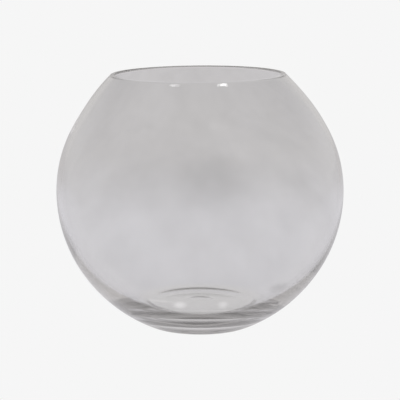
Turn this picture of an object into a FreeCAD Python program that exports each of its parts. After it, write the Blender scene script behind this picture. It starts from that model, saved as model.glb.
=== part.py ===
"""A blown glass rose bowl: one near-spherical piece of clear glass with a wide cut mouth.

The bowl stands on the plane Z = 0, and its axis of revolution is the Z axis.
All lengths are in millimetres. The driving sizes are in the spreadsheet "Sizes", and the
spreadsheet "Derived" works out the sizes that follow from them.
"""
import FreeCAD
import Part
import math
import os

import Sketcher

# The driving sizes, as (name, value, what it is).
SIZES = [
    ("height", 175.2, "from the table to the top of the lip"),
    ("belly_radius", 100.0, "outside radius at the widest place"),
    ("belly_height", 93.2, "height of the widest place"),
    ("mouth_radius", 60.8, "outside radius of the lip"),
    ("mouth_slope_share", 1.762, "how far the shoulder has turned in at the lip, as a share of its chord"),
    ("lip_height", 1.8, "height of the lip, which stands upright on the shoulder"),
    ("lip_land", 3.9, "width of the lip, measured level across the cut"),
    ("lip_rounding_share", 0.28, "rounding of the lip's edges as a share of its width"),
    ("foot_radius", 39.2, "outside radius of the flat underside, before its edge is rounded"),
    ("foot_slope_share", 1.966, "how far the body has turned in at the underside, as a share of its chord"),
    ("heel_rounding", 4.0, "rounding between the body and the underside"),
    ("wall", 2.7, "thickness of the glass at the widest place"),
    ("bottom_height", 10.0, "height of the lowest point of the inside"),
    ("floor_radius", 36.5, "radius of the nearly flat inside floor"),
    ("floor_rise", 0.4, "how far the inside floor rises from its middle to its edge"),
    ("corner_share", 0.11, "how much of the inside's curve is the corner round its floor"),
    ("contact_width", 3.0, "width of the flat ring round the hollow of the underside"),
    ("punt_rise", 1.2, "how far the underside is hollowed at its middle"),
    ("pontil_depth", 0.3, "depth of the polished mark in the middle of this hollow"),
    ("pontil_arc", 145.0, "radius that the polished mark is ground to"),
    ("overrun", 5.0, "how far a cut runs on outside the glass"),
]

# The sizes that follow from them, as (name, formula, what it is).
DERIVED = [
    ("lip_base", "Sizes.height - Sizes.lip_height", "where the shoulder meets the lip"),
    ("lip_rounding", "Sizes.lip_land * Sizes.lip_rounding_share", "rounding of the lip's edges"),
    ("neck_radius", "Sizes.mouth_radius - Sizes.lip_land", "inside radius of the lip"),
    ("neck_length", "Sizes.lip_height + Sizes.overrun", "from the shoulder to above the lip"),
    ("inside_radius", "Sizes.belly_radius - Sizes.wall", "inside radius at the widest place"),
    ("floor_edge", "Sizes.bottom_height + Sizes.floor_rise", "height of the inside floor's edge"),
    ("floor_lean", "2 * atan2(Sizes.floor_rise; Sizes.floor_radius)", "degrees that its edge leans"),
    ("punt_radius", "Sizes.foot_radius - Sizes.contact_width", "radius of the underside's hollow"),
    ("pontil_height", "Sizes.punt_rise + Sizes.pontil_depth", "top of the polished mark"),
]

# The curves that leave the widest place, as (name, how far it comes in towards the axis, how
# far it goes up or down, how far it turns, tangent length of its second arc as a share of
# its first one's).
EVEN_SHARE = 1
CURVES = [
    ("upper", "Sizes.belly_radius - Sizes.mouth_radius", "lip_base - Sizes.belly_height",
     "Sizes.mouth_slope_share * atan2(upper_in; upper_rise)", EVEN_SHARE),
    ("inner", "inside_radius - neck_radius", "upper_rise", "upper_turn", EVEN_SHARE),
    ("lower", "Sizes.belly_radius - Sizes.foot_radius", "Sizes.belly_height",
     "Sizes.foot_slope_share * atan2(lower_in; lower_rise)", EVEN_SHARE),
    ("side", "inside_radius - Sizes.floor_radius", "Sizes.belly_height - floor_edge",
     "acos(0) - floor_lean", "Sizes.corner_share"),
]
FULL_TURN = 360
RIGHT_ANGLE = math.acos(0)
MATCH = 0.001

# How a sketch refers to the points of an edge, to its own axes and to its origin.
START, END, CENTRE = range(1, 4)
LEVEL_AXIS, UPRIGHT_AXIS = range(-1, -3, -1)
ORIGIN = (LEVEL_AXIS, START)


def curve_rows():
    """The rows that give the first arc of each curve: its radius, and the degrees it sweeps.

    A curve is two tangent arcs. The first leaves the widest place upright, and the second
    carries it on to its end. Their tangents' lengths follow from where the curve ends and
    how far it turns.
    """
    rows = []
    for name, across, up, turn, share in CURVES:
        rows += [
            (f"{name}_in", across, "how far this curve comes in towards the axis"),
            (f"{name}_rise", up, "how far it goes up or down"),
            (f"{name}_turn", turn, "degrees that it turns"),
            (f"{name}_share", share, "tangent length of its second arc as a share of the first"),
            (f"{name}_lead",
             f"{name}_rise + {name}_share"
             f" * ({name}_in * sin({name}_turn) + {name}_rise * cos({name}_turn))",
             "its chord, measured along the tangents at its ends"),
            (f"{name}_bend", f"2 * {name}_share * (1 - cos({name}_turn))", "how sharply it turns"),
            (f"{name}_tangent",
             f"(sqrt({name}_lead ^ 2 + {name}_bend * ({name}_in ^ 2 + {name}_rise ^ 2)) - {name}_lead)"
             f" / {name}_bend",
             "tangent length of its first arc"),
            (f"{name}_sweep",
             f"atan2({name}_in - {name}_share * {name}_tangent * sin({name}_turn);"
             f" {name}_rise - {name}_tangent * (1 + {name}_share * cos({name}_turn)))",
             "degrees that its first arc sweeps"),
            (f"{name}_arc", f"{name}_tangent / tan({name}_sweep / 2)", "radius of its first arc"),
        ]
    return rows


class Sizes:
    """The two spreadsheets. A size is read by its name, so sizes.height is the bowl's height."""

    def __init__(self, document):
        self.formulas = {}
        driving = [(name, str(value), meaning) for name, value, meaning in SIZES]
        self.fill(document, "Sizes", driving)
        derived = [(name, f"={formula}", meaning) for name, formula, meaning in DERIVED + curve_rows()]
        self.fill(document, "Derived", derived)

    def fill(self, document, title, rows):
        """Put the rows in a new sheet, each with its name as alias, and keep their numbers."""
        sheet = document.addObject("Spreadsheet::Sheet", title)
        for row, (name, content, meaning) in enumerate(rows, start=1):
            sheet.set(f"A{row}", meaning)
            sheet.set(f"B{row}", content)
            sheet.setAlias(f"B{row}", name)
        document.recompute()
        for name, content, meaning in rows:
            self.formulas[name] = f"{title}.{name}"
            setattr(self, name, float(getattr(sheet, name)))


def point(across, up):
    """A point or step in a profile: across from the axis, and up from the table."""
    return FreeCAD.Vector(across, up, 0)


def direction(angle):
    return point(math.cos(angle), math.sin(angle))


def arc(centre, radius, first_angle, last_angle):
    """An arc that runs anticlockwise between two angles in radians."""
    circle = Part.Circle(centre, FreeCAD.Vector(0, 0, 1), radius)
    return Part.ArcOfCircle(circle, first_angle, last_angle)


def arcs_from_belly(belly, radius, sweep, target):
    """Two arcs that leave the widest place upright and run without a kink to a target.

    The first has the given radius and sweeps the given degrees, downwards if they are
    negative. The second is the one arc that carries it on through the target.
    """
    turn = math.radians(sweep)
    first_centre = belly - point(radius, 0)
    outward = direction(turn)
    joint = first_centre + outward * radius
    chord = target - joint
    second_radius = chord.dot(chord) / (-2 * chord.dot(outward))
    second_centre = joint - outward * second_radius
    aim = target - second_centre
    last = math.atan2(aim.y, aim.x)
    first = arc(first_centre, radius, min(0, turn), max(0, turn))
    second = arc(second_centre, second_radius, min(turn, last), max(turn, last))
    return first, second


class Profile:
    """A closed sketch on the body's XZ plane, with each dimension bound to a spreadsheet."""

    def __init__(self, body, name, sizes, edges):
        self.sizes = sizes
        self.sketch = body.newObject("Sketcher::SketchObject", name)
        for plane in body.Origin.OriginFeatures:
            if plane.Role == "XZ_Plane":
                self.sketch.AttachmentSupport = [(plane, "")]
        self.sketch.MapMode = "FlatFace"
        self.numbers = {}
        for edge_name, edge in edges.items():
            self.numbers[edge_name] = self.sketch.addGeometry(edge, False)

    def rule(self, kind, *places):
        """Add a geometric rule between places, where an edge goes by its name."""
        places = [self.numbers.get(place, place) for place in places]
        return self.sketch.addConstraint(Sketcher.Constraint(kind, *places))

    def corner(self, edge, following):
        self.rule("Coincident", edge, END, following, START)

    def smooth(self, edge, following):
        self.rule("Tangent", edge, END, following, START)

    def on_axis(self, edge, end):
        self.rule("PointOnObject", edge, end, UPRIGHT_AXIS)

    def size(self, name, kind, *places):
        """Add a dimension that follows the spreadsheet's cell of the same name."""
        value = getattr(self.sizes, name)
        if kind == "Angle":
            value = math.radians(value)
        number = self.rule(kind, *places, value)
        self.sketch.renameConstraint(number, name)
        self.sketch.setExpression("Constraints." + name, self.sizes.formulas[name])


def turned(body, kind, name, profile):
    """Turn a profile right round the axis, as solid glass or as a cut."""
    feature = body.newObject(kind, name)
    feature.Profile = profile.sketch
    feature.ReferenceAxis = (profile.sketch, ["V_Axis"])
    feature.Angle = FULL_TURN
    body.Document.recompute()
    return feature


def cut(body, name, profile):
    """Cut a turned profile out of the body, and make sure that it took glass away."""
    before = body.Tip.Shape.Volume
    feature = turned(body, "PartDesign::Groove", name, profile)
    if feature.Shape.Volume >= before:
        raise RuntimeError(name + " cuts nothing")


def make_outside(body, sizes):
    """The outside of the bowl as a solid: flat underside, round belly and upright lip."""
    bottom = point(0, 0)
    foot = point(sizes.foot_radius, 0)
    belly = point(sizes.belly_radius, sizes.belly_height)
    lip_base = point(sizes.mouth_radius, sizes.lip_base)
    lip_top = point(sizes.mouth_radius, sizes.height)
    top = point(0, sizes.height)
    lower, heel = arcs_from_belly(belly, sizes.lower_arc, -sizes.lower_sweep, foot)
    upper, shoulder = arcs_from_belly(belly, sizes.upper_arc, sizes.upper_sweep, lip_base)
    profile = Profile(body, "outside_profile", sizes, {
        "base": Part.LineSegment(bottom, foot),
        "heel": heel,
        "lower": lower,
        "upper": upper,
        "shoulder": shoulder,
        "lip": Part.LineSegment(lip_base, lip_top),
        "top": Part.LineSegment(lip_top, top),
        "axis": Part.LineSegment(top, bottom),
    })
    profile.corner("base", "heel")
    profile.smooth("heel", "lower")
    profile.smooth("lower", "upper")
    profile.smooth("upper", "shoulder")
    profile.corner("shoulder", "lip")
    profile.corner("lip", "top")
    profile.corner("top", "axis")
    profile.corner("axis", "base")
    profile.rule("Coincident", "base", START, *ORIGIN)
    profile.rule("Horizontal", "base")
    profile.rule("Vertical", "lip")
    profile.rule("Horizontal", "top")
    profile.rule("Vertical", "axis")
    profile.rule("Horizontal", "upper", CENTRE, "upper", START)
    profile.size("foot_radius", "DistanceX", "base", START, "base", END)
    profile.size("height", "DistanceY", "axis", END, "axis", START)
    profile.size("lip_height", "DistanceY", "lip", START, "lip", END)
    profile.size("mouth_radius", "DistanceX", "top", END, "top", START)
    profile.size("belly_radius", "DistanceX", *ORIGIN, "upper", START)
    profile.size("belly_height", "DistanceY", *ORIGIN, "upper", START)
    profile.size("upper_arc", "Radius", "upper")
    profile.size("upper_sweep", "Angle", "upper")
    profile.size("lower_arc", "Radius", "lower")
    profile.size("lower_sweep", "Angle", "lower")
    turned(body, "PartDesign::Revolution", "outside", profile)


def make_inside(body, sizes):
    """The inside, which keeps to the outside above the widest place.

    Below it the glass thickens steadily towards a heavy floor, which is nearly flat inside.
    """
    belly = point(sizes.inside_radius, sizes.belly_height)
    bottom = point(0, sizes.bottom_height)
    lip_base = point(sizes.neck_radius, sizes.lip_base)
    over_lip = lip_base + point(0, sizes.neck_length)
    over_top = point(0, over_lip.y)
    floor_edge = point(sizes.floor_radius, sizes.floor_edge)
    floor_bend = sizes.floor_radius / math.sin(math.radians(sizes.floor_lean))
    floor_centre = bottom + point(0, floor_bend)
    floor_end = math.radians(sizes.floor_lean) - RIGHT_ANGLE
    side, turn = arcs_from_belly(belly, sizes.side_arc, -sizes.side_sweep, floor_edge)
    upper, shoulder = arcs_from_belly(belly, sizes.inner_arc, sizes.inner_sweep, lip_base)
    profile = Profile(body, "inside_profile", sizes, {
        "floor": arc(floor_centre, floor_bend, -RIGHT_ANGLE, floor_end),
        "turn": turn,
        "side": side,
        "upper": upper,
        "shoulder": shoulder,
        "neck": Part.LineSegment(lip_base, over_lip),
        "top": Part.LineSegment(over_lip, over_top),
        "axis": Part.LineSegment(over_top, bottom),
    })
    profile.smooth("floor", "turn")
    profile.smooth("turn", "side")
    profile.smooth("side", "upper")
    profile.smooth("upper", "shoulder")
    profile.corner("shoulder", "neck")
    profile.corner("neck", "top")
    profile.corner("top", "axis")
    profile.corner("axis", "floor")
    profile.on_axis("axis", END)
    profile.on_axis("floor", CENTRE)
    profile.rule("Vertical", "axis")
    profile.rule("Vertical", "neck")
    profile.rule("Horizontal", "top")
    profile.rule("Horizontal", "upper", CENTRE, "upper", START)
    profile.size("bottom_height", "DistanceY", *ORIGIN, "floor", START)
    profile.size("floor_radius", "DistanceX", *ORIGIN, "floor", END)
    profile.size("floor_rise", "DistanceY", "floor", START, "floor", END)
    profile.size("side_sweep", "Angle", "side")
    profile.size("inside_radius", "DistanceX", *ORIGIN, "upper", START)
    profile.size("belly_height", "DistanceY", *ORIGIN, "upper", START)
    profile.size("inner_arc", "Radius", "upper")
    profile.size("inner_sweep", "Angle", "upper")
    profile.size("neck_radius", "DistanceX", *ORIGIN, "neck", START)
    profile.size("lip_base", "DistanceY", *ORIGIN, "neck", START)
    profile.size("neck_length", "DistanceY", "neck", START, "neck", END)
    cut(body, "inside", profile)


def make_punt(body, sizes):
    """The shallow hollow of the underside, which leaves a flat ring to stand on."""
    rim = point(sizes.punt_radius, 0)
    crown = point(0, sizes.punt_rise)
    arc_radius = (rim - crown).dot(rim - crown) / (2 * sizes.punt_rise)
    centre = crown - point(0, arc_radius)
    aim = rim - centre
    under_rim = rim - point(0, sizes.overrun)
    under_crown = point(0, under_rim.y)
    profile = Profile(body, "punt_profile", sizes, {
        "hollow": arc(centre, arc_radius, math.atan2(aim.y, aim.x), RIGHT_ANGLE),
        "axis": Part.LineSegment(crown, under_crown),
        "under": Part.LineSegment(under_crown, under_rim),
        "edge": Part.LineSegment(under_rim, rim),
    })
    profile.corner("hollow", "axis")
    profile.corner("axis", "under")
    profile.corner("under", "edge")
    profile.corner("edge", "hollow")
    profile.on_axis("hollow", END)
    profile.on_axis("hollow", CENTRE)
    profile.rule("Vertical", "axis")
    profile.rule("Horizontal", "under")
    profile.rule("Vertical", "edge")
    profile.rule("Horizontal", "edge", END, *ORIGIN)
    profile.size("punt_rise", "DistanceY", *ORIGIN, "axis", START)
    profile.size("punt_radius", "DistanceX", *ORIGIN, "edge", END)
    profile.size("overrun", "DistanceY", "edge", START, "edge", END)
    cut(body, "punt", profile)


def make_pontil_mark(body, sizes):
    """The dish ground and polished where the blowing iron was broken off."""
    bottom = point(0, 0)
    crown = point(0, sizes.pontil_height)
    centre = crown - point(0, sizes.pontil_arc)
    reach = math.sqrt(sizes.pontil_arc ** 2 - centre.y ** 2)
    rim = point(reach, 0)
    aim = rim - centre
    profile = Profile(body, "pontil_profile", sizes, {
        "dish": arc(centre, sizes.pontil_arc, math.atan2(aim.y, aim.x), RIGHT_ANGLE),
        "axis": Part.LineSegment(crown, bottom),
        "base": Part.LineSegment(bottom, rim),
    })
    profile.corner("dish", "axis")
    profile.corner("axis", "base")
    profile.corner("base", "dish")
    profile.rule("Coincident", "axis", END, *ORIGIN)
    profile.rule("Vertical", "axis")
    profile.rule("Horizontal", "base")
    profile.on_axis("dish", CENTRE)
    profile.size("pontil_arc", "Radius", "dish")
    profile.size("pontil_height", "DistanceY", "axis", END, "axis", START)
    cut(body, "pontil_mark", profile)


def round_edges(body, name, height, radii, formula):
    """Round the circular edges that lie at a height and have one of the given radii."""
    sharp = body.Tip
    found = []
    for number, edge in enumerate(sharp.Shape.Edges, start=1):
        if edge.Degenerated or not isinstance(edge.Curve, Part.Circle):
            continue
        level = abs(edge.Curve.Center.z - height) < MATCH
        wanted = any(abs(edge.Curve.Radius - radius) < MATCH for radius in radii)
        if level and wanted:
            found.append(f"Edge{number}")
    if len(found) != len(radii):
        raise RuntimeError(name + " doesn't find its edges")
    rounding = body.newObject("PartDesign::Fillet", name)
    rounding.Base = (sharp, found)
    rounding.setExpression("Radius", formula)
    body.Document.recompute()


def make_bowl(document, sizes):
    """The whole bowl, blown in one piece, with its mouth cut and fire-polished."""
    body = document.addObject("PartDesign::Body", "glass_bowl")
    body.Label = "glass_bowl"
    make_outside(body, sizes)
    make_inside(body, sizes)
    make_punt(body, sizes)
    make_pontil_mark(body, sizes)
    lip_radii = [sizes.mouth_radius, sizes.neck_radius]
    round_edges(body, "lip_edges", sizes.height, lip_radii, sizes.formulas["lip_rounding"])
    round_edges(body, "heel_edge", 0, [sizes.foot_radius], sizes.formulas["heel_rounding"])
    body.Placement = FreeCAD.Placement()
    return body


def check(document, bodies):
    """Stop with a message if anything failed to build."""
    for item in document.Objects:
        if "Invalid" in item.State or "Error" in item.State:
            raise RuntimeError(item.Name + " failed to build")
    for body in bodies:
        if body.Shape.isNull() or not body.Shape.isValid():
            raise RuntimeError(body.Label + " has no valid solid")


def main():
    document = FreeCAD.newDocument("rose_bowl")
    bodies = [make_bowl(document, Sizes(document))]
    document.recompute()
    check(document, bodies)
    os.makedirs("parts", exist_ok=True)
    for body in bodies:
        body.Shape.exportStep("parts/" + body.Label + ".step")


main()
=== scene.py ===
import math

import bpy
from bpy.props import FloatProperty, FloatVectorProperty, IntProperty, PointerProperty
from mathutils import Matrix, Vector


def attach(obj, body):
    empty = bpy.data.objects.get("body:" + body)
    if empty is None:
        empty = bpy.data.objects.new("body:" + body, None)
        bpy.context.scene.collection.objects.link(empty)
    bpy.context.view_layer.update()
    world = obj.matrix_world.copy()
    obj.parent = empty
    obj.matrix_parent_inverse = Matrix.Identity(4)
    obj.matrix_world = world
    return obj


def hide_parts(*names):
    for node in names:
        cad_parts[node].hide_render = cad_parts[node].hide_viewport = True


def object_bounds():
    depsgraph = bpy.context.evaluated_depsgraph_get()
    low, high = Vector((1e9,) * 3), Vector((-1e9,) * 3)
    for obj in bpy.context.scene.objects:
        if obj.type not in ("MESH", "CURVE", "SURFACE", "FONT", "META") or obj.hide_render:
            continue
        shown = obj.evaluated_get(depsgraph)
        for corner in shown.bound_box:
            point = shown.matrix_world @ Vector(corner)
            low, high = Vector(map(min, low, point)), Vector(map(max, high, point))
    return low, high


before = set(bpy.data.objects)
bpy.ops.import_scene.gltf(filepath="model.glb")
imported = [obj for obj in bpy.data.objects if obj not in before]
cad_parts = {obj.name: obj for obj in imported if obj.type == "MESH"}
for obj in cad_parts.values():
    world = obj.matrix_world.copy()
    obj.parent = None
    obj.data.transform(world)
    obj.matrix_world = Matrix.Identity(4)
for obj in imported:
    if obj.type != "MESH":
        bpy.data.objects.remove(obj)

CAD_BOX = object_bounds()

bl_info = {
    "name": "Blown Glass Rose Bowl",
    "version": (1, 0, 0),
    "blender": (4, 5, 0),
    "location": "3D View > Sidebar > Rose Bowl",
    "description": "A clear blown glass rose bowl, and the pale studio that it stands in",
    "category": "Object",
}


# Sizes and colours that a user would change

def length(name, description, default):
    return FloatProperty(name=name, description=description, default=default, unit="LENGTH", precision=5)


def share(name, description, default):
    return FloatProperty(name=name, description=description, default=default, subtype="FACTOR")


def angle(name, description, default):
    return FloatProperty(name=name, description=description, default=math.radians(default), unit="ROTATION")


def colour(name, description, default):
    return FloatVectorProperty(name=name, description=description, default=default, subtype="COLOR", size=3)


def amount(name, description, default, unit="NONE"):
    return FloatProperty(name=name, description=description, default=default, unit=unit)


class BowlSizes(bpy.types.PropertyGroup):
    """The sizes of the bowl's cross-section, and how far a blown bowl strays from it."""

    height: length("Height", "From the table to the top of the lip", CAD_BOX[1].z)
    belly_radius: length("Belly radius", "Outside radius at the widest place", CAD_BOX[1].x)
    belly_height: length("Belly height", "Height of the widest place", 0.0932)
    mouth_radius: length("Mouth radius", "Outside radius of the lip", 0.0608)
    mouth_slope: share("Mouth slope", "Turn of the shoulder as a share of its chord's slope", 1.762)
    lip_height: length("Lip height", "Height of the fire-polished lip", 0.0007)
    lip_land: length("Lip width", "Width of the lip, measured level", 0.0035)
    lip_slant: length("Lip slant", "How far the lip's outside slants inwards", 0.0005)
    lip_rounding: length("Lip rounding", "How far the fire-polishing rounds the lip's inner edge", 0.0008)
    lip_edge: length("Lip edge", "How far the fire-polishing rounds the lip's outer edge", 0.0005)
    foot_radius: length("Foot radius", "Radius of the underside before its edge is rounded", 0.0392)
    foot_slope: share("Foot slope", "Turn of the lower body as a share of its chord's slope", 1.966)
    heel_rounding: length("Heel rounding", "How far the rounding of the underside's edge reaches", 0.0009)
    wall: length("Wall", "Thickness of the glass at the widest place", 0.0027)
    bottom_height: length("Bottom height", "Height of the lowest point of the inside", 0.01)
    floor_radius: length("Floor radius", "Radius of the nearly flat inside floor", 0.0365)
    floor_rise: length("Floor rise", "How far the inside floor rises to its edge", 0.0004)
    corner_share: share("Corner share", "How much of the inside's curve is the corner round its floor", 0.11)
    contact_width: length("Ring width", "Width of the flat ring that the bowl stands on", 0.003)
    ring_rounding: length("Ring rounding", "How far the rounding of the ring's inner edge reaches", 0.0003)
    punt_rise: length("Punt rise", "How far the underside is hollowed at its middle", 0.0012)
    pontil_radius: length("Pontil radius", "Radius of the polished mark in the hollow", 0.01087)
    pontil_depth: length("Pontil depth", "Depth of the polished mark", 0.0003)
    pontil_rounding: length("Pontil rounding", "How far the rounding of the mark's edge reaches", 0.0004)
    cavity_offset: length("Cavity offset", "How far the inside lies off the axis", 0.0006)
    mouth_shift: length("Mouth shift", "How far the lip lies off the axis", -0.0014)
    mouth_tilt: angle("Mouth tilt", "How far the lip leans sideways", 0.46)
    mouth_pitch: angle("Mouth pitch", "How far the lip leans towards the back", 0.5)
    mouth_depth: length("Mouth depth", "How far below the lip the leaning begins", 0.03)
    waviness: length("Waviness", "Height of the blown surface's waves", 0.00012)
    segments: IntProperty(name="Segments", description="Faces round the axis", default=256, min=16)


class GlassLook(bpy.types.PropertyGroup):
    """The finish of the glass."""

    clean_tint: colour("Clean tint", "Colour that the clean surface lets through", (0.99, 0.992, 0.99))
    film_tint: colour("Film tint", "The same where hands have left a film", (0.975, 0.975, 0.972))
    clean_roughness: share("Clean roughness", "Roughness of the clean surface", 0.0)
    film_roughness: share("Film roughness", "Roughness where hands have left a film", 0.012)
    ripple: share("Ripple", "Strength of the fine ripples", 0.3)
    ripple_depth: length("Ripple depth", "Depth of the fine ripples", 0.00004)
    depth_tint: colour("Depth tint", "Colour that thick glass leaves of white light", (0.70, 0.693, 0.69))
    depth_density: amount("Depth density", "How fast thick glass darkens", 11.0)
    refraction: amount("Refraction", "Index of refraction", 1.5)
    # Painted glow: light the glass gives off where a ray has turned many times, in place of light the thick
    # base scatters back.
    glow: colour("Glow", "Light that the thick base scatters back", (0.42, 0.41, 0.405))


class StudioLook(bpy.types.PropertyGroup):
    """The studio: floor, backdrop, soft boxes and camera."""

    paper: amount("Paper", "Brightness of the paper that the camera sees round the bowl", 0.922)
    under_bowl: colour("Under the bowl", "The floor in the bowl's own shade", (0.65, 0.636, 0.64))
    near_floor: colour("Near floor", "The floor round the bowl", (0.66, 0.648, 0.675))
    far_floor: colour("Far floor", "The floor behind the bowl", (0.555, 0.539, 0.543))
    side_floor: colour("Side floor", "The floor far off to the sides", (0.405, 0.396, 0.398))
    horizon: colour("Horizon", "The backdrop where it meets the floor", (0.61, 0.595, 0.59))
    high_wall: colour("High wall", "The backdrop high above the floor", (0.155, 0.147, 0.143))
    room: colour("Room", "The room to the sides and behind the camera", (0.385, 0.377, 0.37))
    left_power: amount("Left lamp", "Power of the left soft box", 0.00026, "POWER")
    right_power: amount("Right lamp", "Power of the right soft box", 0.0007, "POWER")
    box_width: length("Box width", "Long side of a soft box", 0.13)
    box_depth: length("Box depth", "Short side of a soft box", 0.045)
    box_rise: length("Box rise", "Height of the soft boxes above the bowl's middle", 0.95)
    grid: angle("Grid", "Spread of light that the grid of a soft box lets through", 10.5)
    distance: length("Distance", "From the camera to the middle of the bowl", 1.0)
    middle: length("Middle", "Height of the middle of the bowl", 0.09428)
    aim: length("Aim", "Height that the camera looks at", 0.08639)
    elevation: angle("Elevation", "How far the camera looks down", 10.7)
    lens: amount("Lens", "Focal length", 128.64, "CAMERA")


# The cross-section

FLOOR_STEPS = 20
SIDE_STEPS = 24
NECK_STEPS = 20
LIP_STEPS = 4
SHOULDER_STEPS = 40
BODY_STEPS = 28
HOLLOW_STEPS = 16
MARK_STEPS = 8
ROUNDING_STEPS = 8

# The evenness of a curve whose two arcs have tangents of the same length.
EVEN = 1

# How far below the lip the inside takes the whole of its offset, as a share of the height.
OFFSET_DEPTH_SHARE = 0.25


def arc(start, centre, turn, count):
    """Points along an arc from start round a centre, by an angle that is positive anticlockwise."""
    spoke = start - centre
    points = []
    for step in range(count + 1):
        swing = turn * step / count
        across = spoke.x * math.cos(swing) - spoke.y * math.sin(swing)
        up = spoke.x * math.sin(swing) + spoke.y * math.cos(swing)
        points.append(centre + Vector((across, up)))
    return points


def curve(belly, end, turn, evenness, count):
    """Two tangent arcs from the widest place, which they leave upright, to an end point.

    They turn by the given angle in all, and the second one's tangent length is the given
    share of the first one's.
    """
    inwards = belly.x - end.x
    rise = abs(end.y - belly.y)
    way = 1 if end.y > belly.y else -1
    lead = rise + evenness * (inwards * math.sin(turn) + rise * math.cos(turn))
    bend = 2 * evenness * (1 - math.cos(turn))
    tangent = (math.sqrt(lead ** 2 + bend * (inwards ** 2 + rise ** 2)) - lead) / bend
    first_turn = math.atan2(
        inwards - evenness * tangent * math.sin(turn),
        rise - tangent * (1 + evenness * math.cos(turn)))
    second_turn = turn - first_turn
    first_radius = tangent / math.tan(first_turn / 2)
    second_radius = evenness * tangent / math.tan(second_turn / 2)
    first = arc(belly, belly - Vector((first_radius, 0)), way * first_turn, count)
    joint = first[-1]
    outward = Vector((math.cos(first_turn), way * math.sin(first_turn)))
    second = arc(joint, joint - outward * second_radius, way * second_turn, count)
    return first + second[1:]


def line(start, end):
    """Points along a straight stretch of the lip or the ring."""
    return [start.lerp(end, step / LIP_STEPS) for step in range(LIP_STEPS + 1)]


def trimmed(points, reach):
    """The points of a run up to a distance before its end, with the point at that distance."""
    points = list(points)
    while True:
        last = points.pop()
        step = (last - points[-1]).length
        if step > reach:
            return points + [last.lerp(points[-1], reach / step)]
        reach -= step


def joined(runs, roundings):
    """Join runs end to end, and round each corner between two runs over a given reach."""
    whole = runs[0]
    for run, reach in zip(runs[1:], roundings):
        if reach == 0:
            whole = whole + run[1:]
            continue
        corner = run[0]
        whole = trimmed(whole, reach)
        run = trimmed(run[::-1], reach)[::-1]
        start, end = whole[-1], run[0]
        for step in range(1, ROUNDING_STEPS):
            done = step / ROUNDING_STEPS
            whole.append(start.lerp(corner, done).lerp(corner.lerp(end, done), done))
        whole += run
    return whole


def inside_runs(sizes, inner_lip, shoulder_turn):
    """The inside from the middle of its floor, up the side, to where the lip begins."""
    belly = Vector((sizes.belly_radius - sizes.wall, sizes.belly_height))
    floor_lean = 2 * math.atan2(sizes.floor_rise, sizes.floor_radius)
    floor_bend = sizes.floor_radius / math.sin(floor_lean)
    floor_centre = Vector((0, sizes.bottom_height + floor_bend))
    floor_edge = Vector((sizes.floor_radius, sizes.bottom_height + sizes.floor_rise))
    side_turn = math.radians(90) - floor_lean
    floor = arc(floor_edge, floor_centre, -floor_lean, FLOOR_STEPS)[::-1]
    side = curve(belly, floor_edge, side_turn, sizes.corner_share, SIDE_STEPS)[::-1]
    neck = curve(belly, inner_lip, shoulder_turn, EVEN, NECK_STEPS)
    return [floor, side, neck]


def underside_runs(sizes, foot):
    """The underside from its edge, over the ring and the hollow, to the middle of the mark."""
    ring_edge = Vector((sizes.foot_radius - sizes.contact_width, 0))
    hollow_radius = (ring_edge.x ** 2 + sizes.punt_rise ** 2) / (2 * sizes.punt_rise)
    hollow_centre = Vector((0, sizes.punt_rise - hollow_radius))
    ring_turn = math.asin(ring_edge.x / hollow_radius)
    mark_turn = math.asin(sizes.pontil_radius / hollow_radius)
    hollow = arc(ring_edge, hollow_centre, ring_turn - mark_turn, HOLLOW_STEPS)
    mark_edge = hollow[-1]
    mark_rise = sizes.punt_rise + sizes.pontil_depth - mark_edge.y
    mark_radius = (mark_edge.x ** 2 + mark_rise ** 2) / (2 * mark_rise)
    mark_centre = mark_edge - Vector((mark_edge.x, mark_radius - mark_rise))
    mark = arc(mark_edge, mark_centre, math.asin(mark_edge.x / mark_radius), MARK_STEPS)
    return [line(foot, ring_edge), hollow, mark]


def cross_section(sizes):
    """The bowl's outline from the middle of its inside, over the lip, to the middle underneath.

    Gives the points, and for each the share of the cavity's offset that it takes.
    """
    lip_base = sizes.height - sizes.lip_height
    neck_radius = sizes.mouth_radius - sizes.lip_land
    belly = Vector((sizes.belly_radius, sizes.belly_height))
    outer_lip = Vector((sizes.mouth_radius, lip_base))
    outer_top = Vector((sizes.mouth_radius - sizes.lip_slant, sizes.height))
    inner_lip = Vector((neck_radius, lip_base))
    inner_top = Vector((neck_radius, sizes.height))
    foot = Vector((sizes.foot_radius, 0))
    shoulder_turn = sizes.mouth_slope * math.atan2(belly.x - outer_lip.x, outer_lip.y - belly.y)
    body_turn = sizes.foot_slope * math.atan2(belly.x - foot.x, belly.y)

    runs = [
        *inside_runs(sizes, inner_lip, shoulder_turn),
        line(inner_lip, inner_top),
        line(inner_top, outer_top),
        line(outer_top, outer_lip),
        curve(belly, outer_lip, shoulder_turn, EVEN, SHOULDER_STEPS)[::-1],
        curve(belly, foot, body_turn, EVEN, BODY_STEPS),
        *underside_runs(sizes, foot),
    ]
    polish, edge = sizes.lip_rounding, sizes.lip_edge
    roundings = [
        0, 0, polish / 2, polish, edge, edge, 0,
        sizes.heel_rounding, sizes.ring_rounding, sizes.pontil_rounding]
    points = joined(runs, roundings)
    for end in (0, -1):
        points[end].x = 0

    top = max(range(len(points)), key=lambda number: points[number].y)
    offsets = []
    for number, place in enumerate(points):
        below_lip = (sizes.height - place.y) / sizes.height
        offsets.append(min(1, below_lip / OFFSET_DEPTH_SHARE) if number < top else 0)
    return points, offsets


# Helpers for nodes

NODE_SPACING = 180


def add_node(tree, kind, inputs=None, **settings):
    """Add a node with its settings. Each input is a value, or the output that feeds it."""
    node = tree.nodes.new(kind)
    node.location = (NODE_SPACING * len(tree.nodes), 0)
    for name, value in settings.items():
        setattr(node, name, value)
    for place, value in (inputs or {}).items():
        if isinstance(value, bpy.types.NodeSocket):
            tree.links.new(value, node.inputs[place])
        else:
            node.inputs[place].default_value = value
    return node


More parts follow.
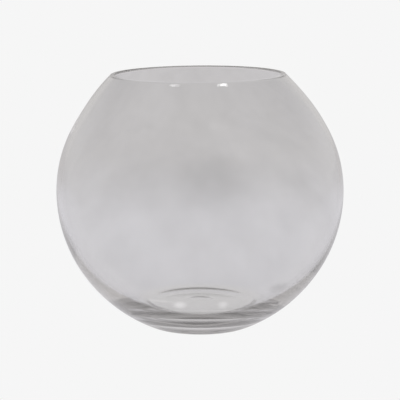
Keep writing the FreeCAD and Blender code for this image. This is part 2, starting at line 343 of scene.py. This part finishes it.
def add_sockets(tree, direction, kinds):
    """Give a tree its named inputs or outputs."""
    for name, kind in kinds.items():
        tree.interface.new_socket(name, in_out=direction, socket_type="NodeSocket" + kind)


def math_node(tree, operation, first, second=0.0):
    return add_node(tree, "ShaderNodeMath", {0: first, 1: second}, operation=operation).outputs[0]


def vector_node(tree, operation, first, inputs=None):
    return add_node(tree, "ShaderNodeVectorMath", {0: first, **(inputs or {})}, operation=operation)


def map_range(tree, value, band, results=(0.0, 1.0)):
    """A smooth step between two results while the value goes from one end of a band to the other."""
    return add_node(tree, "ShaderNodeMapRange", {
        "Value": value,
        "From Min": band[0],
        "From Max": band[1],
        "To Min": results[0],
        "To Max": results[1],
    }, interpolation_type="SMOOTHSTEP").outputs[0]


def mix_colour(tree, factor, first, second):
    """A blend of two colours, each a plain one or an output."""
    def rgba(value):
        return value if isinstance(value, bpy.types.NodeSocket) else (*value, 1)
    return add_node(
        tree, "ShaderNodeMix", {0: factor, 6: rgba(first), 7: rgba(second)}, data_type="RGBA").outputs[2]


def new_material(name):
    material = bpy.data.materials.new(name)
    material.use_nodes = True
    material.node_tree.nodes.clear()
    return material


# The glass

FILM_NOISE = {"Scale": 22.0, "Detail": 4.0, "Roughness": 0.6}
FILM_BAND = (0.5, 0.75)
RIPPLE_NOISE = {"Scale": 45.0, "Detail": 2.0, "Roughness": 0.5}

# The turn at which a ray meets the painted glow that stands for light the thick base scatters back, and how
# near is near enough.
GLOWING_TURN = 18.0
NEAR_ENOUGH = 0.5


def blown_surface_group():
    """Film and fine ripples of a blown, handled glass surface."""
    tree = bpy.data.node_groups.new("Blown glass surface", "ShaderNodeTree")
    add_sockets(tree, "INPUT", {
        "Vector": "Vector", "Clean Tint": "Color", "Film Tint": "Color",
        "Clean Roughness": "Float", "Film Roughness": "Float"})
    add_sockets(tree, "OUTPUT", {"Tint": "Color", "Roughness": "Float", "Height": "Float"})
    given = add_node(tree, "NodeGroupInput").outputs
    patches = add_node(tree, "ShaderNodeTexNoise", {"Vector": given["Vector"], **FILM_NOISE})
    film = map_range(tree, patches.outputs[0], FILM_BAND)
    tint = mix_colour(tree, film, given["Clean Tint"], given["Film Tint"])
    gain = math_node(tree, "SUBTRACT", given["Film Roughness"], given["Clean Roughness"])
    roughness = math_node(tree, "ADD", given["Clean Roughness"], math_node(tree, "MULTIPLY", film, gain))
    ripples = add_node(tree, "ShaderNodeTexNoise", {"Vector": given["Vector"], **RIPPLE_NOISE})
    add_node(tree, "NodeGroupOutput", {"Tint": tint, "Roughness": roughness, "Height": ripples.outputs[0]})
    return tree


def clear_glass(look):
    """Clear glass that darkens with its thickness, with film, ripples and a painted glow that stands in for
    light the thick base scatters back.
    """
    material = new_material("clear_glass")
    tree = material.node_tree
    surface = add_node(tree, "ShaderNodeGroup", {
        "Vector": add_node(tree, "ShaderNodeTexCoord").outputs["Object"],
        "Clean Tint": (*look.clean_tint, 1),
        "Film Tint": (*look.film_tint, 1),
        "Clean Roughness": look.clean_roughness,
        "Film Roughness": look.film_roughness,
    }, node_tree=blown_surface_group()).outputs
    bump = add_node(tree, "ShaderNodeBump", {
        "Strength": look.ripple,
        "Distance": look.ripple_depth,
        "Height": surface["Height"],
    })
    # The glass gives off painted glow once a ray has turned often enough.
    turns = add_node(tree, "ShaderNodeLightPath").outputs["Ray Depth"]
    glowing = add_node(tree, "ShaderNodeMath", {0: turns, 1: GLOWING_TURN, 2: NEAR_ENOUGH},
                       operation="COMPARE")
    glass = add_node(tree, "ShaderNodeBsdfPrincipled", {
        "Base Color": surface["Tint"],
        "Roughness": surface["Roughness"],
        "Normal": bump.outputs["Normal"],
        "Transmission Weight": 1.0,
        "Metallic": 0.0,
        "IOR": look.refraction,
        "Emission Color": mix_colour(tree, glowing.outputs[0], (0, 0, 0), look.glow),
        "Emission Strength": 1.0,
    })
    depth = add_node(tree, "ShaderNodeVolumeAbsorption", {
        "Color": (*look.depth_tint, 1),
        "Density": look.depth_density,
    })
    add_node(tree, "ShaderNodeOutputMaterial", {"Surface": glass.outputs[0], "Volume": depth.outputs[0]})
    return material


# The lathe

SEED = 7.0
WANDER_NOISE = {"Scale": 16.0, "Detail": 1.0}
NOISE_MIDDLE = 0.5

# Below this band the foot is ground true, and above it the surface wanders freely.
BLOWN_BAND = (0.004, 0.02)

# Points that lie closer than this are one: those of the seam and those on the axis.
SAME_PLACE = 0.000001


def sampled(tree, section, value, row, data_type):
    """A value of the cross-section, taken at the point of a row."""
    return add_node(tree, "GeometryNodeSampleIndex", {"Geometry": section, "Value": value, "Index": row},
                    data_type=data_type).outputs["Value"]


def turned_sheet(tree, given):
    """A sheet with a row for each point of the cross-section, bent round the axis.

    Gives the sheet, and the share of the cavity's offset that each of its points takes.
    """
    section = given["Geometry"]
    count = add_node(tree, "GeometryNodeAttributeDomainSize", {"Geometry": section}).outputs["Point Count"]
    columns = math_node(tree, "ADD", given["Segments"], 1.0)
    sheet = add_node(tree, "GeometryNodeMeshGrid", {"Vertices X": columns, "Vertices Y": count})
    index = add_node(tree, "GeometryNodeInputIndex").outputs[0]
    column = math_node(tree, "FLOOR", math_node(tree, "DIVIDE", index, count))
    row = math_node(tree, "MODULO", index, count)
    position = add_node(tree, "GeometryNodeInputPosition").outputs[0]
    named = add_node(tree, "GeometryNodeInputNamedAttribute", {"Name": "inside"}, data_type="FLOAT")
    place = sampled(tree, section, position, row, "FLOAT_VECTOR")
    inside = sampled(tree, section, named.outputs["Attribute"], row, "FLOAT")
    swing = math_node(tree, "MULTIPLY", math_node(tree, "DIVIDE", column, given["Segments"]), math.tau)
    round_axis = add_node(tree, "ShaderNodeVectorRotate", {"Vector": place, "Angle": swing},
                          rotation_type="Z_AXIS")
    turned = add_node(tree, "GeometryNodeSetPosition",
                      {"Geometry": sheet.outputs["Mesh"], "Position": round_axis.outputs[0]})
    return turned.outputs[0], inside


def lathe_tree():
    """Turns a cross-section round the axis, and gives it the unevenness of a blown piece."""
    tree = bpy.data.node_groups.new("Blown bowl", "GeometryNodeTree")
    tree.is_modifier = True
    add_sockets(tree, "INPUT", {
        "Geometry": "Geometry", "Segments": "Int", "Cavity Offset": "Float", "Mouth Height": "Float",
        "Mouth Depth": "Float", "Mouth Shift": "Float", "Mouth Tilt": "Float", "Mouth Pitch": "Float",
        "Waviness": "Float", "Seed": "Float", "Glass": "Material"})
    add_sockets(tree, "OUTPUT", {"Geometry": "Geometry"})
    given = add_node(tree, "NodeGroupInput").outputs
    turned, inside = turned_sheet(tree, given)

    spot = add_node(tree, "GeometryNodeInputPosition").outputs[0]
    parts = add_node(tree, "ShaderNodeSeparateXYZ", {0: spot}).outputs
    mouth_start = math_node(tree, "SUBTRACT", given["Mouth Height"], given["Mouth Depth"])
    mouth = map_range(tree, parts["Z"], (mouth_start, given["Mouth Height"]))
    shift = math_node(tree, "ADD",
                      math_node(tree, "MULTIPLY", mouth, given["Mouth Shift"]),
                      math_node(tree, "MULTIPLY", inside, given["Cavity Offset"]))
    lean = math_node(tree, "MULTIPLY", parts["X"], math_node(tree, "TANGENT", given["Mouth Tilt"]))
    nod = math_node(tree, "MULTIPLY", parts["Y"], math_node(tree, "TANGENT", given["Mouth Pitch"]))
    lift = math_node(tree, "MULTIPLY", mouth, math_node(tree, "SUBTRACT", lean, nod))
    nudge = add_node(tree, "ShaderNodeCombineXYZ", {"X": shift, "Z": lift})
    wander = add_node(tree, "ShaderNodeTexNoise", {"Vector": spot, "W": given["Seed"], **WANDER_NOISE},
                      noise_dimensions="4D")
    centred = math_node(tree, "SUBTRACT", wander.outputs[0], NOISE_MIDDLE)
    free = map_range(tree, parts["Z"], BLOWN_BAND)
    swell = math_node(tree, "MULTIPLY", math_node(tree, "MULTIPLY", centred, free), given["Waviness"])
    normal = add_node(tree, "GeometryNodeInputNormal").outputs[0]
    wave = vector_node(tree, "SCALE", normal, {"Scale": swell})
    offset = vector_node(tree, "ADD", nudge.outputs[0], {1: wave.outputs[0]})
    blown = add_node(tree, "GeometryNodeSetPosition", {"Geometry": turned, "Offset": offset.outputs[0]})

    closed = add_node(tree, "GeometryNodeMergeByDistance",
                      {"Geometry": blown.outputs[0], "Distance": SAME_PLACE})
    outwards = add_node(tree, "GeometryNodeFlipFaces", {"Mesh": closed.outputs[0]})
    smooth = add_node(tree, "GeometryNodeSetShadeSmooth", {"Geometry": outwards.outputs[0]})
    real = add_node(tree, "GeometryNodeRealizeInstances", {"Geometry": smooth.outputs[0]})
    coated = add_node(tree, "GeometryNodeSetMaterial",
                      {"Geometry": real.outputs[0], "Material": given["Glass"]})
    add_node(tree, "NodeGroupOutput", {"Geometry": coated.outputs[0]})
    return tree


def set_inputs(modifier, values):
    """Set a modifier's named inputs, each by the identifier of its socket."""
    for socket in modifier.node_group.interface.items_tree:
        if socket.in_out == "INPUT" and socket.name in values:
            modifier[socket.identifier] = values[socket.name]


class ROSEBOWL_OT_blow_bowl(bpy.types.Operator):
    """Blow the bowl: body, lip, heavy bottom and foot ring in one piece of clear glass"""

    bl_idname = "rosebowl.blow_bowl"
    bl_label = "Blow the bowl"

    def execute(self, context):
        sizes = context.scene.rose_bowl_sizes
        points, offsets = cross_section(sizes)
        mesh = bpy.data.meshes.new("rose_bowl")
        edges = [(number, number + 1) for number in range(len(points) - 1)]
        mesh.from_pydata([(place.x, 0, place.y) for place in points], edges, [])
        mesh.attributes.new("inside", "FLOAT", "POINT").data.foreach_set("value", offsets)
        bowl = bpy.data.objects.new("rose_bowl", mesh)
        context.scene.collection.objects.link(bowl)
        modifier = bowl.modifiers.new("Blown bowl", "NODES")
        modifier.node_group = lathe_tree()
        set_inputs(modifier, {
            "Segments": sizes.segments,
            "Cavity Offset": sizes.cavity_offset,
            "Mouth Height": sizes.height,
            "Mouth Depth": sizes.mouth_depth,
            "Mouth Shift": sizes.mouth_shift,
            "Mouth Tilt": sizes.mouth_tilt,
            "Mouth Pitch": sizes.mouth_pitch,
            "Waviness": sizes.waviness,
            "Seed": SEED,
            "Glass": clear_glass(context.scene.rose_bowl_glass),
        })
        evaluated = bowl.evaluated_get(context.evaluated_depsgraph_get())
        plain = bpy.data.meshes.new_from_object(evaluated)
        bowl.modifiers.clear()
        bowl.data = plain
        # The lathe leaves an empty slot before the glass.
        plain.materials.pop(index=0)
        plain.polygons.foreach_set("material_index", [0] * len(plain.polygons))
        if not plain.polygons:
            raise RuntimeError("The bowl has no faces")
        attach(bowl, "root")
        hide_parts("glass_bowl")
        return {"FINISHED"}


# The studio's floor and room

# Soft shadows and gleams on the floor: each one's middle across and behind the bowl's axis,
# its half width and half depth, and its brightness.
FLOOR_PATCHES = {
    "shadow in the middle": (0.018, 0.545, 0.045, 0.17, 0.885),
    "paler shadow to its left": (-0.030, 0.55, 0.08, 0.20, 0.95),
    "shade along the right": (0.138, 0.36, 0.026, 0.22, 0.955),
    "light at the upper left": (-0.12, 1.2, 0.07, 0.50, 1.035),
    "light at the lower left": (-0.07, 0.25, 0.04, 0.10, 1.03),
    "spot at the right": (0.116, 0.565, 0.024, 0.08, 0.93),
    "spot above it": (0.113, 0.96, 0.024, 0.10, 0.97),
    "shadow beside the base": (0.063, 0.025, 0.0085, 0.016, 0.73),
    "left light in the base": (-0.0150, -0.012, 0.0045, 0.010, 1.45),
    "right light in the base": (0.0165, -0.011, 0.0035, 0.010, 1.35),
    "streak at the base's left": (-0.03, -0.004, 0.010, 0.003, 1.2),
}

# Where a patch begins to fade and where it is gone, in half widths from its middle.
PATCH_FADE = (0.2, 1.5)

# The mottle is drawn out towards the camera, so its second share is the smallest.
MOTTLE_SHARES = (1.0, 0.16, 1.0)
MOTTLE_NOISE = {"Scale": 34.0, "Detail": 3.0, "Roughness": 0.6}
MOTTLE_BAND = (0.2, 0.8)
MOTTLE_BRIGHTNESS = (0.96, 1.04)

# A pale arc on the floor: its middle across and behind the axis, how fast it bends aside,
# its half width, its brightness at the middle and at its edge, and where its ends fade.
ARC_ACROSS = 0.068
ARC_DEEP = 0.41
ARC_BEND = 0.11
ARC_WIDTH = (0.0, 0.035)
ARC_BRIGHTNESS = (1.04, 1.0)
ARC_NEAR_END = (-0.1, 0.0)
ARC_FAR_END = (0.55, 0.8)

# The bands over which one grey turns into the next. The first three are distances on the
# floor: from the axis, behind it and off to the sides. The last two are shares of a direction:
# how much of it points backwards, and how much of it points up.
SHADE_BAND = (0.036, 0.055)
FAR_BAND = (0.2, 0.85)
SIDE_BAND = (0.15, 0.6)
BACK_BAND = (-0.3, 0.7)
WALL_BAND = (0.1, 0.7)

# How much sooner the floor's side grey begins in front of the bowl than behind it.
SIDE_LEAN = 1.4


def soft_patch(tree, place, across, deep, half_width, half_depth, brightness):
    """The brightness of an ellipse on the floor, which fades softly to 1 round it."""
    away = vector_node(tree, "SUBTRACT", place, {1: (across, deep, 0)}).outputs[0]
    scaled = vector_node(tree, "MULTIPLY", away, {1: (1 / half_width, 1 / half_depth, 0)}).outputs[0]
    reach = vector_node(tree, "LENGTH", scaled).outputs["Value"]
    return map_range(tree, reach, PATCH_FADE, (brightness, 1.0))


def pale_arc(tree, parts):
    """The brightness that a pale arc gives the floor."""
    back = math_node(tree, "SUBTRACT", parts["Y"], ARC_DEEP)
    bend = math_node(tree, "MULTIPLY", math_node(tree, "MULTIPLY", back, back), ARC_BEND)
    across = math_node(tree, "SUBTRACT", parts["X"], ARC_ACROSS)
    aside = math_node(tree, "ABSOLUTE", math_node(tree, "ADD", across, bend))
    band = map_range(tree, aside, ARC_WIDTH, ARC_BRIGHTNESS)
    near = map_range(tree, back, ARC_NEAR_END)
    far = map_range(tree, back, ARC_FAR_END, (1.0, 0.0))
    return math_node(tree, "POWER", band, math_node(tree, "MULTIPLY", near, far))


def unevenness(tree, place, parts):
    """How the studio's soft shadows and gleams change the floor's brightness."""
    mottle = vector_node(tree, "MULTIPLY", place, {1: MOTTLE_SHARES}).outputs[0]
    noise = add_node(tree, "ShaderNodeTexNoise", {"Vector": mottle, **MOTTLE_NOISE})
    whole = map_range(tree, noise.outputs[0], MOTTLE_BAND, MOTTLE_BRIGHTNESS)
    for patch in FLOOR_PATCHES.values():
        whole = math_node(tree, "MULTIPLY", whole, soft_patch(tree, place, *patch))
    return math_node(tree, "MULTIPLY", whole, pale_arc(tree, parts))


def paper_to_camera(tree, look, grey):
    """White paper where the camera looks, and a grey for what the glass passes on or mirrors."""
    seen = add_node(tree, "ShaderNodeLightPath").outputs["Is Camera Ray"]
    return mix_colour(tree, seen, grey, (look.paper,) * 3)


def studio_floor_material(look):
    """The floor's greys: the bowl's shade, the lit floor, and the floor far off."""
    material = new_material("studio_paper")
    tree = material.node_tree
    place = add_node(tree, "ShaderNodeTexCoord").outputs["Object"]
    parts = add_node(tree, "ShaderNodeSeparateXYZ", {0: place}).outputs
    reach = vector_node(tree, "LENGTH", place).outputs["Value"]
    aside = math_node(tree, "SUBTRACT", reach, math_node(tree, "MULTIPLY", parts["Y"], SIDE_LEAN))
    backwards = math_node(tree, "DIVIDE", parts["Y"], reach)
    lit = mix_colour(tree, map_range(tree, parts["Y"], FAR_BAND), look.near_floor, look.far_floor)
    side = mix_colour(tree, map_range(tree, backwards, BACK_BAND), look.side_floor, look.horizon)
    lit = mix_colour(tree, map_range(tree, aside, SIDE_BAND), lit, side)
    grey = mix_colour(tree, map_range(tree, reach, SHADE_BAND), look.under_bowl, lit)
    grey = vector_node(tree, "SCALE", grey, {"Scale": unevenness(tree, place, parts)}).outputs[0]
    glow = add_node(tree, "ShaderNodeEmission", {"Color": paper_to_camera(tree, look, grey)})
    add_node(tree, "ShaderNodeOutputMaterial", {"Surface": glow.outputs[0]})
    return material


def studio_world(look):
    """The room's greys: the backdrop from the horizon up, and the room round the camera."""
    world = bpy.data.worlds.new("studio_room")
    world.use_nodes = True
    tree = world.node_tree
    tree.nodes.clear()
    way = add_node(tree, "ShaderNodeTexCoord").outputs["Generated"]
    parts = add_node(tree, "ShaderNodeSeparateXYZ", {0: way}).outputs
    wall = mix_colour(tree, map_range(tree, parts["Z"], WALL_BAND), look.horizon, look.high_wall)
    grey = mix_colour(tree, map_range(tree, parts["Y"], BACK_BAND), look.room, wall)
    room = add_node(tree, "ShaderNodeBackground", {"Color": paper_to_camera(tree, look, grey)})
    add_node(tree, "ShaderNodeOutputWorld", {"Surface": room.outputs[0]})
    return world


# The studio's lamps and camera

PAPER_REACH = 4.0

# The paper lies a hair below the bowl's ring, so that the two faces don't touch.
PAPER_LEVEL = -0.0002

# Each soft box's place across and behind the axis, and the turn of its long side in degrees.
SOFT_BOXES = {"left": (-0.273, -0.098, -28), "right": (0.266, -0.088, 23)}

# What the soft boxes are aimed at.
LIP_FRONT = Vector((0, -0.06, 0.174))

# In millimetres, as the lens is.
SENSOR_WIDTH = 36
CLIP_START = 0.01

# Enough for the light that goes to and fro in the thick base.
BOUNCES = 40


def lay_floor(scene, look):
    """Lay a square of paper under the bowl."""
    mesh = bpy.data.meshes.new("studio_floor")
    corners = [(across * PAPER_REACH, deep * PAPER_REACH, PAPER_LEVEL)
               for across, deep in ((-1, -1), (1, -1), (1, 1), (-1, 1))]
    mesh.from_pydata(corners, [], [(0, 1, 2, 3)])
    mesh.materials.append(studio_floor_material(look))
    floor = bpy.data.objects.new("studio_floor", mesh)
    scene.collection.objects.link(floor)


def hang_soft_box(scene, look, side, across, deep, turn):
    """Hang a soft box that faces the lip's front, with its long side level and turned."""
    light = bpy.data.lights.new("soft_box_" + side, "AREA")
    light.shape = "RECTANGLE"
    light.size = look.box_width
    light.size_y = look.box_depth
    light.energy = getattr(look, side + "_power")
    light.spread = look.grid
    lamp = bpy.data.objects.new(light.name, light)
    lamp.location = Vector((across, deep, look.middle + look.box_rise))
    back = (lamp.location - LIP_FRONT).normalized()
    along = Vector((math.cos(turn), math.sin(turn), 0))
    upwards = back.cross(along).normalized()
    lamp.rotation_mode = "QUATERNION"
    lamp.rotation_quaternion = Matrix((upwards.cross(back), upwards, back)).transposed().to_quaternion()
    scene.collection.objects.link(lamp)


def place_camera(scene, look):
    """Set up the camera in front of the bowl, looking slightly down."""
    camera = bpy.data.objects.new("camera", bpy.data.cameras.new("camera"))
    camera.data.sensor_width = SENSOR_WIDTH
    camera.data.lens = look.lens
    camera.data.clip_start = CLIP_START
    back = Vector((0, -math.cos(look.elevation), math.sin(look.elevation)))
    camera.location = Vector((0, 0, look.middle)) + back * look.distance
    camera.rotation_mode = "QUATERNION"
    camera.rotation_quaternion = (Vector((0, 0, look.aim)) - camera.location).to_track_quat("-Z", "Y")
    scene.collection.objects.link(camera)
    scene.camera = camera


class ROSEBOWL_OT_light_studio(bpy.types.Operator):
    """Lay the pale floor, hang the soft boxes and set up the camera"""

    bl_idname = "rosebowl.light_studio"
    bl_label = "Light the studio"

    def execute(self, context):
        scene = context.scene
        look = scene.rose_bowl_studio
        lay_floor(scene, look)
        scene.world = studio_world(look)
        for side, (across, deep, turn) in SOFT_BOXES.items():
            hang_soft_box(scene, look, side, across, deep, math.radians(turn))
        place_camera(scene, look)
        scene.view_settings.view_transform = "Standard"
        scene.cycles.max_bounces = BOUNCES
        scene.cycles.glossy_bounces = BOUNCES
        scene.cycles.transmission_bounces = BOUNCES
        return {"FINISHED"}


# The add-on

class ROSEBOWL_PT_panel(bpy.types.Panel):
    """The rose bowl's steps and sizes"""

    bl_idname = "ROSEBOWL_PT_panel"
    bl_label = "Rose Bowl"
    bl_space_type = "VIEW_3D"
    bl_region_type = "UI"
    bl_category = "Rose Bowl"

    def draw(self, context):
        for operator in OPERATORS:
            self.layout.operator(operator.bl_idname)
        for group in SETTINGS:
            box = self.layout.box()
            for name in SETTINGS[group].__annotations__:
                box.prop(getattr(context.scene, group), name)


SETTINGS = {"rose_bowl_sizes": BowlSizes, "rose_bowl_glass": GlassLook, "rose_bowl_studio": StudioLook}
OPERATORS = (ROSEBOWL_OT_blow_bowl, ROSEBOWL_OT_light_studio)
CLASSES = (*SETTINGS.values(), *OPERATORS, ROSEBOWL_PT_panel)


def register():
    for kind in CLASSES:
        bpy.utils.register_class(kind)
    for name, kind in SETTINGS.items():
        setattr(bpy.types.Scene, name, PointerProperty(type=kind))


def unregister():
    for name in SETTINGS:
        delattr(bpy.types.Scene, name)
    for kind in reversed(CLASSES):
        bpy.utils.unregister_class(kind)


def main():
    register()
    bpy.ops.rosebowl.blow_bowl()
    bpy.ops.rosebowl.light_studio()


if __name__ == "__main__":
    main()
